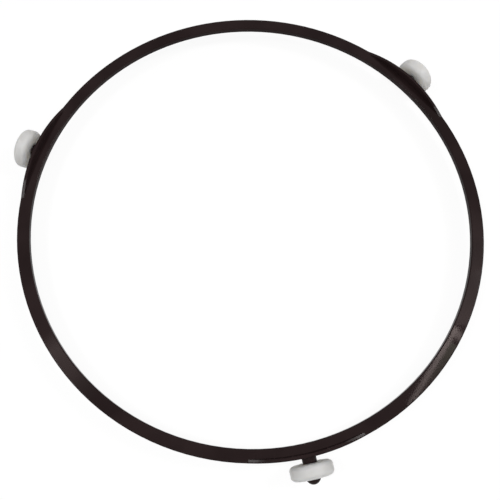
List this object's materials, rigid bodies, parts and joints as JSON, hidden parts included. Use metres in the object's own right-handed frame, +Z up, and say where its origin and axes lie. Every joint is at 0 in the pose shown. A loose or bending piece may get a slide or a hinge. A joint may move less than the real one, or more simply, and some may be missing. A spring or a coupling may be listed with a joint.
{
  "type": "microwave roller ring",
  "caption": "Slim dark plastic ring with stub axles around its outside that carry free-turning pale rollers; it runs under a microwave oven's turntable and bears its weight.",
  "frame": {"origin": "on the ring's axis, level with the floor that the rollers stand on", "axes": "+Z up along the ring's axis; one roller stands on -Y and the other two at 30 and 150 degrees from +X"},
  "size_m": [0.22, 0.2312, 0.0188],
  "materials": {
    "ring_plastic": "satin moulded black-brown plastic",
    "roller_plastic": "matt off-white low-friction plastic"
  },
  "bodies": {
    "support_ring": {"support_ring": "ring_plastic"},
    "roller_front": {"roller_front": "roller_plastic"},
    "roller_right": {"roller_right": "roller_plastic"},
    "roller_left": {"roller_left": "roller_plastic"}
  },
  "joints": [
    {"name": "roller_front_spin", "type": "hinge", "parent": "support_ring", "child": "roller_front", "pos_m": [0, -0.1155, 0.0094], "axis": [0, -1, 0], "continuous": true},
    {"name": "roller_right_spin", "type": "hinge", "parent": "support_ring", "child": "roller_right", "pos_m": [0.10003, 0.05775, 0.0094], "axis": [0.866, 0.5, 0], "continuous": true},
    {"name": "roller_left_spin", "type": "hinge", "parent": "support_ring", "child": "roller_left", "pos_m": [-0.10003, 0.05775, 0.0094], "axis": [-0.866, 0.5, 0], "continuous": true}
  ]
}
